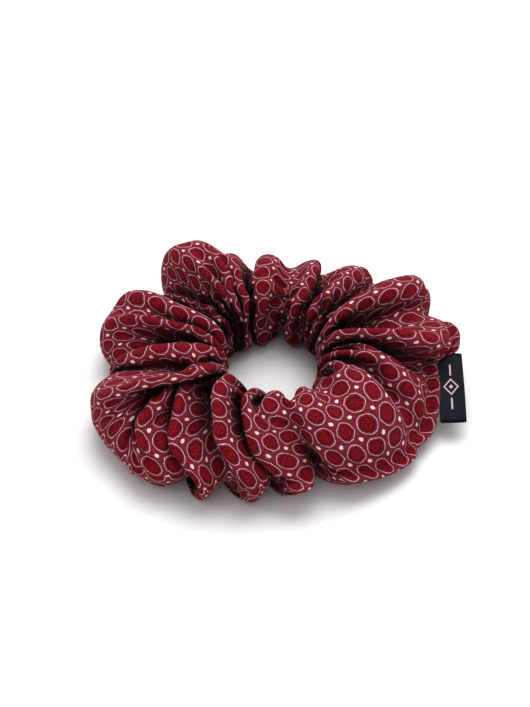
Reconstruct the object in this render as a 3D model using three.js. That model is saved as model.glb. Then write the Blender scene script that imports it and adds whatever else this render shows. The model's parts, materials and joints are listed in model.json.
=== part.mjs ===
// A scrunchie: one strip of printed cotton sewn into a tube, gathered over a loop of flat elastic,
// with a fold-over label sewn into its outer edge.
// Millimetres, +Z up. The origin is under the middle of the whole piece, on the surface it lies on.
// The ring opens by stretching along X, so the tube and the elastic each have a left and a right side.
import * as THREE from 'three';

// ---- driving dimensions ----
const RING_X = -4.5;              // ring axis; the label's overhang balances it, so the origin is mid-length
const OUTER = { a: 55.5, b: 50 }; // half length and half depth of the ring at its outer edge
const HOLE = { a: 18.5, b: 22 };  // half length and half depth of the hole the hair goes through
const OUTER_SQUARENESS = 2.5;     // 2 is an ellipse, more is squarer
const HEIGHT = 33;                // top of a puff
const SEAM_Z = 10;                // height of the outer edge, where the long seam runs
const PUFFS = 10;                 // gathers round the ring
const VALLEY = { reach: 0.05, height: 0.16, lift: 1.5 }; // how far a valley draws in, drops, and lifts off
const WALL = 0.9;                 // gathered cotton: a ply of 0.35, its creases and the air in them
const SECTION_SQUARENESS = 2.2;
const UNDERSIDE_FULLNESS = 1.25;  // over 1, so the underside is flat where it lies on the surface
const SPLIT_GAP = 0.3;            // between the two sides at rest

const ALLOWANCE = 8;              // seam allowance turned into the tube
const LIP_GAP = 0.4;              // between the two edges of the strip
const LIP = { turned: 0.5, stitched: 3 }; // how far the flat lip stands out of the tube, by how it is closed
const LIP_ROOT = 2.4;             // where the allowance leaves the wall, in from the tube's side

const THREAD_R = 0.2;
const CLEAR = 0.35;               // air between pieces that touch on the real one
const LONG_STITCH = 7;            // coarser than sewn ones, which are 2.5 long
const TOP_STITCH = 3.2;
const SEAM_BOW = 0.25;            // how far a stitch of a seam bows off the cloth, and of the topstitch
const TOP_BOW = 0.2;
const SEAM_INSET = 4.2;           // long seam threads, in from the edge
const TOP_INSET = 1.6;            // closing topstitch, in from the edge
const CLOSING = { from: -88, to: 16, fade: 7 }; // degrees; the turning gap that is topstitched shut
// The end seam, where the two ends of the tube meet: degrees round the ring, then round the tube; how far
// inside the wall it is; and degrees between its two threads.
const END_SEAM = { at: -72, from: 54, sweep: 252, inset: 1.3, apart: 1.6 };

// The elastic: inset is from the hole's edge; beyond its lap the ends ease back over these degrees.
const ELASTIC = { width: 6, thick: 1.2, inset: 4.5, z: 14, lap: 12, ease: 8, easeEnd: 60 };
const ZIGZAG = { width: 0.66, length: 0.8 }; // shares of the elastic's width and of the lap
// The way through each end wall: its half sizes, and the slit to it in radians.
const WINDOW = { a: 2, b: 4.6, slit: 0.1 };
const END_WALL_DEG = 2;

const LABEL = { width: 24, y: -8, tilt: 18, ply: 0.35, inner: 0.3, tail: 5, tailThick: 0.6 };
const LABEL_LIP_GAP = 1.5;        // between the two edges of the strip, where the label's tail is caught
const LABEL_LIP_EASE = { from: 1, to: 6 }; // the gap narrows again this far beyond the label's sides
const NO_PUFFS = { full: 14, none: 28 };   // degrees each side of +X where the edge is flat for the label
const CLIMB_REACH = 15;           // the edge climbs this far each side of the label's middle
const CLIMB_FADE = { from: 35, to: 80 };   // degrees each side of +X over which the climb fades
const HINGE_OUT = 0.5;            // hinge line beyond the cloth's edge
const FLAP_START = 0.6;           // the flap begins this far beyond the hinge line
const TAIL_START = 0.15;          // the tail ends this far short of the hinge line

const rad = THREE.MathUtils.degToRad;
const smooth = THREE.MathUtils.smoothstep;
const FRONT = rad(-90);
const BACK = rad(90);

// ---- materials ----
const cloth = (color, roughness) => new THREE.MeshStandardMaterial({ color, roughness, metalness: 0 });
const cotton = cloth(0x7d2230, 0.85);
const thread = cloth(0x6a1a26, 0.6);
const elasticMat = cloth(0xe8e4dc, 0.8);
const ribbon = cloth(0x24262f, 0.55);

// ---- the ring in plan ----
// Distance from the ring's axis to a rounded oval, at angle t.
function oval(t, a, b, squareness) {
  const x = Math.abs(Math.cos(t)) / a, y = Math.abs(Math.sin(t)) / b;
  return (x ** squareness + y ** squareness) ** (-1 / squareness);
}

// 1 at the bottom of a valley between puffs, 0 on a puff; the label's stretch of edge has none.
function valley(t) {
  const nearLabel = 1 - smooth(Math.abs(THREE.MathUtils.radToDeg(t)), NO_PUFFS.full, NO_PUFFS.none);
  return ((1 + Math.cos(PUFFS * (t - BACK))) / 2) ** 3 * (1 - nearLabel);
}

const holeEdge = (t) => oval(t, HOLE.a, HOLE.b, 2);
const outerEdge = (t) => oval(t, OUTER.a, OUTER.b, OUTER_SQUARENESS) * (1 - VALLEY.reach * valley(t));
const top = (t) => HEIGHT * (1 - VALLEY.height * valley(t));

// The outer edge climbs past the label, so the label faces up and forward.
function climb(t, y) {
  const slope = Math.tan(rad(LABEL.tilt));
  const along = THREE.MathUtils.clamp(y - LABEL.y, -CLIMB_REACH, CLIMB_REACH);
  const fade = smooth(Math.abs(t), rad(CLIMB_FADE.from), rad(CLIMB_FADE.to));
  return Math.cos(t) > 0 ? slope * along * (1 - fade) : 0;
}

// A point of the ring: angle, distance from the axis, height before the edge's climb.
function place(t, rho, z) {
  const y = rho * Math.sin(t);
  const share = Math.max(0, 1 - ((z - SEAM_Z) / (z > SEAM_Z ? HEIGHT - SEAM_Z : SEAM_Z)) ** 2);
  const x = RING_X + rho * Math.cos(t);
  return new THREE.Vector3(x, y, z + climb(t, y) * share);
}

// ---- the tube's section ----
// 1 along the topstitched stretch of the outer edge, 0 where the seam was turned.
function topstitched(t) {
  const middle = rad((CLOSING.from + CLOSING.to) / 2), half = rad((CLOSING.to - CLOSING.from) / 2);
  const away = Math.abs(Math.atan2(Math.sin(t - middle), Math.cos(t - middle)));
  return 1 - smooth(away, half, half + rad(CLOSING.fade));
}

function section(t) {
  const inner = holeEdge(t), outer = outerEdge(t);
  const body = outer - THREE.MathUtils.lerp(LIP.turned, LIP.stitched, topstitched(t));
  const beyondLabel = Math.abs(outer * Math.sin(t) - LABEL.y) - LABEL.width / 2;
  const nearLabel = 1 - smooth(beyondLabel, LABEL_LIP_EASE.from, LABEL_LIP_EASE.to);
  return {
    mid: (inner + body) / 2, half: (body - inner) / 2, body, outer,
    gap: (Math.cos(t) > 0 ? THREE.MathUtils.lerp(LIP_GAP, LABEL_LIP_GAP, nearLabel) : LIP_GAP) / 2,
    up: top(t) - SEAM_Z, down: SEAM_Z * UNDERSIDE_FULLNESS, floor: VALLEY.lift * valley(t),
  };
}

// A point on the section, inset by a wall, at angle phi round it (0 is the outer side).
function onSection(s, phi, inset = 0) {
  const flat = (v) => Math.sign(v) * Math.abs(v) ** (2 / SECTION_SQUARENESS);
  const rise = Math.sin(phi) > 0 ? s.up : s.down;
  const z = SEAM_Z + (rise - inset) * flat(Math.sin(phi));
  return [s.mid + (s.half - inset) * flat(Math.cos(phi)), Math.max(z, s.floor + inset)];
}

const OUTSIDE_DEG = [16, 34, 55, 80, 105, 130, 155, 180, 205, 230, 255, 280, 305, 326, 344];
const INSIDE_DEG = [332, 300, 270, 235, 205, 180, 155, 125, 90, 60, 28];

// The strip's outline at angle t: over the outside, in along one allowance, round the inside, out by the
// other. With closed set, the inside shrinks to a small window round the elastic.
function outline(t, closed) {
  const s = section(t), lip = s.gap + WALL;
  const outside = [
    [s.outer, SEAM_Z + s.gap], [s.outer, SEAM_Z + lip], [s.body, SEAM_Z + lip],
    ...OUTSIDE_DEG.map((d) => onSection(s, rad(d))),
    [s.body, SEAM_Z - lip], [s.outer, SEAM_Z - lip], [s.outer, SEAM_Z - s.gap],
  ];
  const root = s.body - LIP_ROOT, end = s.outer - ALLOWANCE;
  const inside = [
    [end, SEAM_Z - s.gap], [end, SEAM_Z - lip], [root, SEAM_Z - lip],
    ...INSIDE_DEG.map((d) => onSection(s, rad(d), WALL)),
    [root, SEAM_Z + lip], [end, SEAM_Z + lip], [end, SEAM_Z + s.gap],
  ];
  if (!closed) return [...outside, ...inside];
  const middle = holeEdge(t) + ELASTIC.inset;
  const window = inside.map((_, i) => {
    const turn = -WINDOW.slit - (2 * Math.PI - 2 * WINDOW.slit) * i / (inside.length - 1);
    return [middle + WINDOW.a * Math.cos(turn), ELASTIC.z + WINDOW.b * Math.sin(turn)];
  });
  return [...outside, ...window];
}

// ---- solids ----
// A closed solid through a row of loops of points; outlines run anticlockwise seen along the row.
function loft(loops, firstOutline, lastOutline) {
  const count = loops[0].length, index = [];
  const vectors = (points) => points.map(([x, y]) => new THREE.Vector2(x, y));
  const cap = (points) => THREE.ShapeUtils.triangulateShape(vectors(points), []);
  const last = (loops.length - 1) * count;
  for (const [a, b, c] of cap(firstOutline)) index.push(a, b, c);
  for (const [a, b, c] of cap(lastOutline)) index.push(last + a, last + c, last + b);
  for (let s = 0; s + 1 < loops.length; s++) {
    for (let i = 0; i < count; i++) {
      const a = s * count + i, b = s * count + (i + 1) % count;
      index.push(a, b + count, b, a, a + count, b + count);
    }
  }
  const geometry = new THREE.BufferGeometry().setFromPoints(loops.flat());
  geometry.setIndex(index);
  geometry.computeVertexNormals();
  return geometry;
}

// One side of the tube, from angle a to angle b, with an end wall at each split.
function tubeSide(a, b) {
  const steps = 36, wall = rad(END_WALL_DEG);
  const stations = [[a, true], [a + wall / 2, true]];
  for (let i = 0; i <= steps; i++) stations.push([a + wall + (b - a - 2 * wall) * i / steps, false]);
  stations.push([b - wall / 2, true], [b, true]);
  const outlines = stations.map(([t, closed]) => outline(t, closed));
  const loops = stations.map(([t], i) => outlines[i].map(([rho, z]) => place(t, rho, z)));
  const away = Math.sign(Math.cos((a + b) / 2));
  for (const loop of [loops[0], loops.at(-1)]) {
    for (const p of loop) p.x = RING_X + away * SPLIT_GAP / 2;
  }
  return loft(loops, outlines[0], outlines.at(-1));
}

// A band of flat elastic from angle a to angle b; shift moves it out or in where the ends lap.
function elasticBand(a, b, shift = () => 0) {
  const steps = 20, half = ELASTIC.thick / 2, high = ELASTIC.width / 2;
  const rect = [[-half, -high], [half, -high], [half, high], [-half, high]];
  const loops = [];
  for (let i = 0; i <= steps; i++) {
    const t = a + (b - a) * i / steps;
    const rho = holeEdge(t) + ELASTIC.inset + shift(t);
    loops.push(rect.map(([r, z]) => new THREE.Vector3(
      RING_X + (rho + r) * Math.cos(t), (rho + r) * Math.sin(t), ELASTIC.z + z)));
  }
  return loft(loops, rect, rect);
}

// A thread of round section through points.
function threadThrough(points, stepsPerPoint = 1, sides = 5) {
  const curve = new THREE.CatmullRomCurve3(points);
  const round = new THREE.Shape();
  round.absarc(0, 0, THREAD_R, 0, 2 * Math.PI, false);
  return new THREE.ExtrudeGeometry(round, {
    steps: (points.length - 1) * stepsPerPoint,
    curveSegments: sides,
    extrudePath: curve,
    bevelEnabled: false,
  });
}

// Stitches along the ring from angle a to angle b; at(t) gives distance and height, and each stitch bows.
function stitches(a, b, length, at, bow) {
  const points = [];
  const count = Math.round(Math.abs(b - a) * OUTER.b / length);
  for (let i = 0; i <= 2 * count; i++) {
    const t = a + (b - a) * i / (2 * count);
    const [rho, z] = at(t);
    points.push(place(t, rho, z + (i % 2 ? bow : 0)));
  }
  return threadThrough(points);
}

// ---- assembly ----
const scrunchie = new THREE.Group();
function add(name, geometry, material) {
  const mesh = new THREE.Mesh(geometry, material);
  mesh.name = name;
  scrunchie.add(mesh);
  return mesh;
}

add('fabric_tube_right', tubeSide(FRONT, BACK), cotton);
add('fabric_tube_left', tubeSide(BACK, BACK + Math.PI), cotton);

// Long seam: its two threads lie on the two allowances, inside the tube.
const seamLine = (side) => (t) => [
  outerEdge(t) - SEAM_INSET, SEAM_Z + side * (LIP_GAP / 2 + WALL + CLEAR + THREAD_R)];
const splitInset = rad(END_WALL_DEG + 1);
const CLOSING_END = rad(CLOSING.to), LEFT_START = BACK + splitInset, LEFT_END = BACK + Math.PI - splitInset;
const labelClear = rad(10);
for (const [name, side] of [['needle', 1], ['bobbin', -1]]) {
  const bow = side * SEAM_BOW;
  add(`long_seam_${name}_thread_left`,
    stitches(LEFT_START, LEFT_END, LONG_STITCH, seamLine(side), bow), thread);
  add(`long_seam_${name}_thread_right`,
    stitches(CLOSING_END + labelClear, BACK - splitInset, LONG_STITCH, seamLine(side), bow), thread);
}

// Closing topstitch: needle thread on the top of the lip, bobbin thread underneath it.
const edgeLine = (side) => (t) => [
  outerEdge(t) - TOP_INSET, SEAM_Z + side * (section(t).gap + WALL + CLEAR + THREAD_R)];
for (const [name, side] of [['needle', 1], ['bobbin', -1]]) {
  add(`closing_topstitch_${name}_thread`,
    stitches(rad(CLOSING.from), CLOSING_END, TOP_STITCH, edgeLine(side), side * TOP_BOW), thread);
}

// End seam: two threads round the inside of the tube, where its ends are joined.
for (const [name, side] of [['needle', 0.5], ['bobbin', -0.5]]) {
  const t = rad(END_SEAM.at + side * END_SEAM.apart), s = section(t), count = 32;
  const points = [];
  for (let i = 0; i <= count; i++) {
    const phi = rad(END_SEAM.from + END_SEAM.sweep * i / count);
    const [rho, z] = onSection(s, phi, WALL + END_SEAM.inset + (i % 2 ? SEAM_BOW : 0));
    points.push(place(t, rho, z));
  }
  add(`end_seam_${name}_thread`, threadThrough(points), thread);
}

// Elastic: one band whose two ends lap on the left; it is split where the tube is.
const LEFT = Math.PI;
const lapHalf = ELASTIC.lap / 2 / (HOLE.a + ELASTIC.inset);
const layer = (ELASTIC.thick + SPLIT_GAP) / 2;
const splitAngle = SPLIT_GAP / 2 / HOLE.b;
const towardLap = (t) => 1 - smooth(Math.abs(t - LEFT), lapHalf + rad(ELASTIC.ease), rad(ELASTIC.easeEnd));
add('elastic_band_right', elasticBand(FRONT + splitAngle, BACK - splitAngle), elasticMat);
add('elastic_band_back_end',
  elasticBand(BACK + splitAngle, LEFT + lapHalf, (t) => -layer * towardLap(t)), elasticMat);
add('elastic_band_front_end',
  elasticBand(LEFT - lapHalf, BACK + Math.PI - splitAngle, (t) => layer * towardLap(t)), elasticMat);

// Zigzag that holds the lap, one thread on each face of it.
for (const [name, side] of [['needle', 1], ['bobbin', -1]]) {
  const points = [], count = 12;
  const off = side * (layer + ELASTIC.thick / 2 + CLEAR + THREAD_R);
  for (let i = 0; i <= count; i++) {
    const t = LEFT + lapHalf * ZIGZAG.length * (2 * i / count - 1);
    const rho = holeEdge(t) + ELASTIC.inset + off;
    const z = ELASTIC.z + (i % 2 ? 1 : -1) * ELASTIC.width * ZIGZAG.width / 2;
    points.push(new THREE.Vector3(RING_X + rho * Math.cos(t), rho * Math.sin(t), z));
  }
  add(`elastic_zigzag_${name}_thread`, threadThrough(points, 2), thread);
}

// Label: a ribbon folded in half. Its tail is caught between the allowances and its flap swings on the edge.
// Local X points out of the edge, local Y is the label's face, local Z runs along its width.
const hingeX = RING_X + OUTER.a + HINGE_OUT;
const flapLength = OUTER.a - RING_X - hingeX - FLAP_START;
const flapThick = 2 * LABEL.ply + LABEL.inner;
function labelPiece(name, shape) {
  const geometry = new THREE.ExtrudeGeometry(shape, {
    depth: LABEL.width, bevelEnabled: false, curveSegments: 6,
  });
  geometry.translate(0, 0, -LABEL.width / 2);
  const mesh = add(name, geometry, ribbon);
  mesh.position.set(hingeX, LABEL.y, SEAM_Z);
  mesh.rotation.x = Math.PI / 2 + rad(LABEL.tilt);
}

const flap = new THREE.Shape();
const foldX = FLAP_START + flapLength - flapThick / 2, inner = LABEL.inner / 2;
flap.moveTo(FLAP_START, -flapThick / 2);
flap.lineTo(foldX, -flapThick / 2);
flap.absarc(foldX, 0, flapThick / 2, -Math.PI / 2, Math.PI / 2, false);
flap.lineTo(FLAP_START, flapThick / 2);
flap.lineTo(FLAP_START, inner);
flap.lineTo(foldX, inner);
flap.absarc(foldX, 0, inner, Math.PI / 2, -Math.PI / 2, true);
flap.lineTo(FLAP_START, -inner);
flap.closePath();
labelPiece('label_flap', flap);

const tail = new THREE.Shape();
tail.moveTo(-LABEL.tail, -LABEL.tailThick / 2);
tail.lineTo(-TAIL_START, -LABEL.tailThick / 2);
tail.lineTo(-TAIL_START, LABEL.tailThick / 2);
tail.lineTo(-LABEL.tail, LABEL.tailThick / 2);
tail.closePath();
labelPiece('label_tail', tail);

export default scrunchie;
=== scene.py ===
"""A gathered cotton scrunchie with a fold-over label, lying on a pale floor.

The cover is one strip of cloth sewn into a tube and gathered on an elastic loop. It starts as a guide: a
ring of puffs and creases. A small cloth solver then lets its spare length buckle, keeps its layers apart
and lays it on the floor. Rays cast from the solved cloth find how deep in a fold each point is, and the
cloth's colour darkens with it as painted shade. The seams follow the solved cloth, and the elastic and
label the frame.
"""

import json
import math

import bpy
import numpy as np
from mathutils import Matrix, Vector
from mathutils.bvhtree import BVHTree


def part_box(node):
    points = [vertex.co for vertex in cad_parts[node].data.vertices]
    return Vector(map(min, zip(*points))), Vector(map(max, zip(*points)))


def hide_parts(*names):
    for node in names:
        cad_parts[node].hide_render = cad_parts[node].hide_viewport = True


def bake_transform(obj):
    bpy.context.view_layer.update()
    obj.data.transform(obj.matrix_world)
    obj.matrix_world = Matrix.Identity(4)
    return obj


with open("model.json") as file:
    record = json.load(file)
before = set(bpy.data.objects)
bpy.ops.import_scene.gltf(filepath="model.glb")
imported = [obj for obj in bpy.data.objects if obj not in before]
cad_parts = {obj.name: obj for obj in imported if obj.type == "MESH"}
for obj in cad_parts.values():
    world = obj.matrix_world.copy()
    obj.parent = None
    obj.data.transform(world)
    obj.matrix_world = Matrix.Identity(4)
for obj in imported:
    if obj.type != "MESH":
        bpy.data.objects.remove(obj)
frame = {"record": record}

MM = 0.001
TURN = 2 * math.pi
UV_MM = 1000.0  # a UV of 1 is this many millimetres of cloth
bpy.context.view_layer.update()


def box_mm(node):
    """A node's two box corners, in millimetres."""
    low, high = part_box(node)
    return np.array(low) / MM, np.array(high) / MM


# ---- the frame, in millimetres ----
LEFT_LOW, LEFT_HIGH = box_mm("fabric_tube_left")
RIGHT_LOW, RIGHT_HIGH = box_mm("fabric_tube_right")
ELASTIC_LOW, ELASTIC_HIGH = box_mm("elastic_band_right")
RING_X = (LEFT_HIGH[0] + RIGHT_LOW[0]) / 2
OUTER_A = RING_X - LEFT_LOW[0]
OUTER_B = RIGHT_HIGH[1]
OUTER_SQUARENESS = 2.5
TOP = LEFT_HIGH[2]
ELASTIC_A = ELASTIC_HIGH[0] - RING_X
ELASTIC_B = ELASTIC_HIGH[1]
ELASTIC_Z = (ELASTIC_LOW[2] + ELASTIC_HIGH[2]) / 2
ELASTIC_WIDTH = ELASTIC_HIGH[2] - ELASTIC_LOW[2]
ELASTIC_HALF_THICK = 0.6
HOLE_IN = 5.1  # how far inside the elastic's outer face the hole's wall is
HOLE_A = ELASTIC_A - HOLE_IN
HOLE_B = ELASTIC_B - HOLE_IN
hinge = next(j for j in frame["record"]["behaviour"]["joints"] if j["name"] == "label_bend")
HINGE = np.array(hinge["pos_m"]) / MM
LABEL_ALONG = -np.array(hinge["axis"])  # along the label's width, pointing up and back
LABEL_OUT = box_mm("label_flap")[1][0] - HINGE[0]

# ---- the strip of cloth ----
STRIP_LENGTH = 510.0
TUBE_AROUND = 102.0  # the strip's width without its two allowances
COTTON_THICK = 0.35
COLUMNS = 430
ROWS = 86
START_DEG = -90.0  # where round the ring the strip's two ends meet
LIP_DEG = (-88.0, 16.0)  # the stretch of outer edge that is topstitched shut
LIP_FADES = 3  # degrees to each side of its ends
LIP_ROWS = 3
LIP_SET_BACK = 1.7  # how much further in the tube ends where it has the lip
LIP_HALF_THICK = (0.0, 0.95, 0.95, 0.55)  # at its edge and each row in from there: the allowances are in it
LIP_PRESS = 0.7  # how far the topstitch draws the two layers together, as a share of their gap
LIP_WEDGE = 0.25  # how much more pointed the tube is where it runs into the lip

# A crease runs from the hole, up its wall, over the top and down to the outer edge. Each has its angles at
# those four places, its depths there (1 reaches the core) and its width in degrees. They are in order round
# the ring, from the left over the front.
CREASES = (
    ((-178, -187, -185, -182), (0.7, 0.7, 0.7, 0.7), 5),
    ((-160, -153, -166, -176), (0.5, 0.6, 0.6, 0.5), 3),
    ((-150, -148, -151, -142), (0.0, 0.3, 1.1, 0.1), 5),
    ((-144, -144, -132, -114), (0.0, 0.0, 0.7, 0.9), 4),
    ((-130, -129, -114, -104), (0.1, 1.0, 1.5, 0.8), 6),
    ((-100, -98, -95, -86), (0.8, 1.0, 1.1, 0.9), 4),
    ((-80, -81, -75, -69), (0.0, 0.0, 0.45, 1.6), 5),
    ((-45, -50, -52, -50), (0.4, 0.3, 0.15, 0.0), 4),
    ((-14, -20, -28, -32), (0.5, 0.5, 0.45, 0.2), 4),
    ((10, 2, -3, 3), (0.8, 1.0, 1.0, 0.15), 6),
    ((19, 16, 17, 20), (0.7, 0.6, 0.6, 0.5), 4),
    ((35, 36, 39, 44), (0.7, 0.7, 0.6, 0.7), 5),
    ((52, 55, 62, 67), (0.8, 0.8, 0.7, 0.6), 5),
    ((80, 78, 78, 83), (0.6, 0.4, 0.4, 0.4), 4),
    ((109, 104, 98, 95), (0.6, 0.7, 0.7, 0.6), 4),
    ((116, 114, 113, 113), (0.1, 0.0, 0.0, 0.0), 4),
    ((125, 129, 134, 136), (0.3, 0.4, 0.6, 1.1), 5),
    ((141, 145, 143, 142), (0.7, 0.7, 0.6, 0.9), 4),
    ((172, 167, 161, 158), (0.6, 0.5, 0.2, 0.0), 4),
)
STATIONS = (180, 120, 60, 0)  # the four places, in degrees round the tube
# The puff after each crease: its reach, its height over the hole's wall and over the edge (all as shares of
# the frame's), how many degrees its crest leans over, and its share of cloth.
PUFFS = (
    (0.90, 0.86, 0.70, 0, 1.0),
    (1.04, 0.86, 0.92, 14, 1.0),
    (1.04, 0.80, 0.66, 0, 1.0),
    (1.05, 0.82, 0.68, -4, 1.0),
    (1.03, 1.00, 0.88, -9, 1.0),
    (1.03, 0.84, 0.86, -12, 1.0),
    (0.98, 0.84, 0.84, -4, 1.0),
    (0.98, 0.84, 0.84, 0, 1.0),
    (0.98, 0.80, 0.68, 0, 1.0),
    (1.12, 0.84, 0.92, -13, 1.0),
    (1.07, 0.86, 1.00, -3, 1.0),
    (1.02, 0.72, 0.62, 3, 1.0),
    (0.98, 0.78, 0.72, -4, 1.1),
    (0.96, 0.80, 0.78, 3, 1.1),
    (0.97, 0.80, 0.84, 0, 1.0),
    (1.10, 0.86, 0.99, 3, 1.0),
    (0.92, 0.74, 0.68, 0, 1.0),
    (1.02, 0.80, 0.76, 0, 1.0),
    (1.02, 0.80, 0.78, 0, 1.0),
)
PINCH_EDGE = 0.3  # how far a crease of depth 1 draws the surface to the core, at the tube's edges
PINCH_TOP = 0.8  # and how much more on top
PINCH_MOST = 0.95
CORE_OUT = 6.0  # the core is as high as the elastic, and this far out from the hole's wall
PUFF_SHARPNESS = 1.2  # with the next: how fast one puff gives way to another at a crease
PUFF_POWER = 6
SECTION_SQUARENESS = 0.87  # under 1, the tube's section is squarer than an oval
MIDDLE_HEIGHT = 0.42  # how high the tube is widest at the hole, as a share of its top
BELOW_MIDDLE = 1.15  # how far it goes down from there, as a share: over 1, the floor flattens it
HOLE_NARROWING = 0.18  # of the hole on its left
SEAM_CLIMB_REACH = 15.0  # the outer edge climbs with the label, for this far to each side of its middle
SEAM_CLIMB_FADES = (35, 80)  # and less and less between these degrees round the ring
MEASURED_ANGLES = 7201  # places round the ring where the length of cloth that the puffs take up is measured
MEASURED_AROUND = (0.0, 0.35 * math.pi)  # at the outer edge, and near the top

# ---- the solver, in millimetres and steps ----
STEPS = 260
SWEEPS = 2  # of the cloth's lengths in each step
LAYER_GAP = 1.1  # between the middles of two layers; over 1 / sqrt(2) of a cell, so that none slips through
NEIGHBOURS = 2  # points at most this many columns and rows apart are never parted
PAIRS_REACH = 1.7  # layer gaps, within which two points are watched
PAIRS_STEPS = 6  # the pairs to watch are found anew after so many steps
LEAST_APART = 0.05  # nearer points are pushed as if they were this far apart
FLOOR = 0.4  # how high the cloth's middle lies on the floor
FLOOR_SLIDE = 0.3  # the share of its sideways speed that a point on the floor keeps
PRESSURE = 0.002
GRAVITY = 0.004
DRAG = 0.92
TOP_SPEED = 0.35
# How strongly each point is held to the guide: anywhere, added in a crease, at the hole and at the lip.
PULL = 0.012
CREASE_PULL = 0.3
HOLE_PULL = 0.06
LIP_PULL = 0.3
PULL_AT_FIRST = 8  # how many times stronger the pull starts
PULL_FADES = 40  # the steps over which that fades
PULL_MOST = 0.35
EDGE_STIFFNESS = 0.5
SLANT_STIFFNESS = 0.22
BEND = 0.07
BEND_MOST = 1.0  # millimetres in one sweep
SQUASH = 0.5  # how much less the cloth resists being gathered closer than being pulled longer
# The cloth takes on the guide's lengths within limits. These are the least shares of its own length, for
# gathers that are too fine for the cells, by degrees round the tube; the greatest is a woven cloth's give.
GATHERED_AT = (0, 60, 120, 180, 250, 310, 360)
GATHERED = (0.78, 0.86, 0.92, 1.0, 1.0, 0.75, 0.78)
GIVE = 1.15
ELASTIC_ROOM = 2.0  # between the elastic's middle and the cloth, across it
ELASTIC_ROOM_UP = 1.2  # and above and below it
# Small waves that the gathers grow from: their lengths and heights.
START_WAVES = ((19.0, 0.5), (13.0, 0.4), (9.0, 0.25))
SEED = 7


def smoothstep(low, high, value):
    """0 at low, 1 at high, and smooth at both ends."""
    t = np.clip((value - low) / (high - low), 0, 1)
    return t * t * (3 - 2 * t)


def oval(angle, a, b, power):
    """Distance from the ring's axis to a rounded oval."""
    return ((np.abs(np.cos(angle)) / a) ** power + (np.abs(np.sin(angle)) / b) ** power) ** (-1 / power)


def elastic_radius(angle):
    """Distance from the ring's axis to the middle of the elastic."""
    return oval(angle, ELASTIC_A - ELASTIC_HALF_THICK, ELASTIC_B - ELASTIC_HALF_THICK, 2)


def rolled(x, a, b):
    """The point a columns and b rows further on, for each point."""
    return np.roll(x, (-a, -b), (0, 1))


def length_of(d):
    """The lengths of vectors, never quite 0."""
    return np.maximum(np.linalg.norm(d, axis=-1, keepdims=True), 1e-6)


def normals(x):
    """The cloth's outward directions."""
    n = np.cross(rolled(x, 1, 0) - rolled(x, -1, 0), rolled(x, 0, 1) - rolled(x, 0, -1))
    return n / length_of(n)


# ---- the start: a ring of puffs ----
def round_the_ring(values):
    """A list with its first value added at the end."""
    return [*values, values[0]]


CREASE_TOPS = np.array([angles[2] for angles, _, _ in CREASES] + [CREASES[0][0][2] + 360.0])


def by_station(around, values):
    """Values at the four stations, smoothly in between. Under the tube the hole's turns into the edge's."""
    turned = np.degrees(around) % 360
    result = values[0] + (values[3] - values[0]) * smoothstep(180, 360, turned)
    for k in (1, 2, 3):
        share = smoothstep(STATIONS[k - 1], STATIONS[k], turned)
        between = values[k - 1] + (values[k] - values[k - 1]) * share
        result = np.where(turned < STATIONS[k - 1], between, result)
    return result


def bent_by(deg, around):
    """How far the creases are bent aside there, against the top."""
    at = (deg - CREASE_TOPS[0]) % 360 + CREASE_TOPS[0]
    aside = [round_the_ring([angles[k] - angles[2] for angles, _, _ in CREASES]) for k in range(4)]
    return by_station(around, [np.interp(at, CREASE_TOPS, a) for a in aside])


def puff_field(deg):
    """The puffs' reach, two heights, lean and share of cloth at each angle."""
    values = np.zeros((5,) + deg.shape)
    weight = np.zeros_like(deg)
    for low, high, puff in zip(CREASE_TOPS, CREASE_TOPS[1:], PUFFS):
        t = ((deg - (low + high) / 2 + 180) % 360 - 180) / ((high - low) / 2)
        w = np.exp(-PUFF_SHARPNESS * np.abs(t) ** PUFF_POWER) + 1e-9  # never quite 0
        values += w * np.array(puff).reshape((5,) + (1,) * deg.ndim)
        weight += w
    return values / weight


def crease_depth(deg, around):
    """How deep in a crease each place is, from 0 on a puff to about 1 at the bottom of a crease."""
    depth = np.zeros_like(deg)
    for angles, depths, width in CREASES:
        away = np.abs((deg - angles[2] + 180) % 360 - 180)
        depth = np.maximum(depth, by_station(around, depths) * np.exp(-((away / width) ** 2)))
    return depth


def seam_height(angle):
    """The outer edge's height: low in front right, climbing past the label."""
    y = oval(angle, OUTER_A, OUTER_B, OUTER_SQUARENESS) * np.sin(angle)
    turned = np.degrees(np.abs(np.angle(np.exp(1j * angle))))
    slope = LABEL_ALONG[2] / LABEL_ALONG[1]
    climbing = 1 - smoothstep(*SEAM_CLIMB_FADES, turned)
    return HINGE[2] + climbing * slope * np.clip(y - HINGE[1], -SEAM_CLIMB_REACH, SEAM_CLIMB_REACH)


def lip_share(deg):
    """1 in the columns of the lip, 0 in the others."""
    edge_deg = deg + bent_by(deg, np.zeros_like(deg))
    starts = smoothstep(LIP_DEG[0] - LIP_FADES, LIP_DEG[0] + LIP_FADES, edge_deg)
    return starts * smoothstep(LIP_DEG[1] + LIP_FADES, LIP_DEG[1] - LIP_FADES, edge_deg)


def squarish(v, pointed=0):
    """A sine or cosine, changed so that the oval it draws is squarer, or less so where it is pointed."""
    return np.sign(v) * np.abs(v) ** (SECTION_SQUARENESS + pointed)


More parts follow.
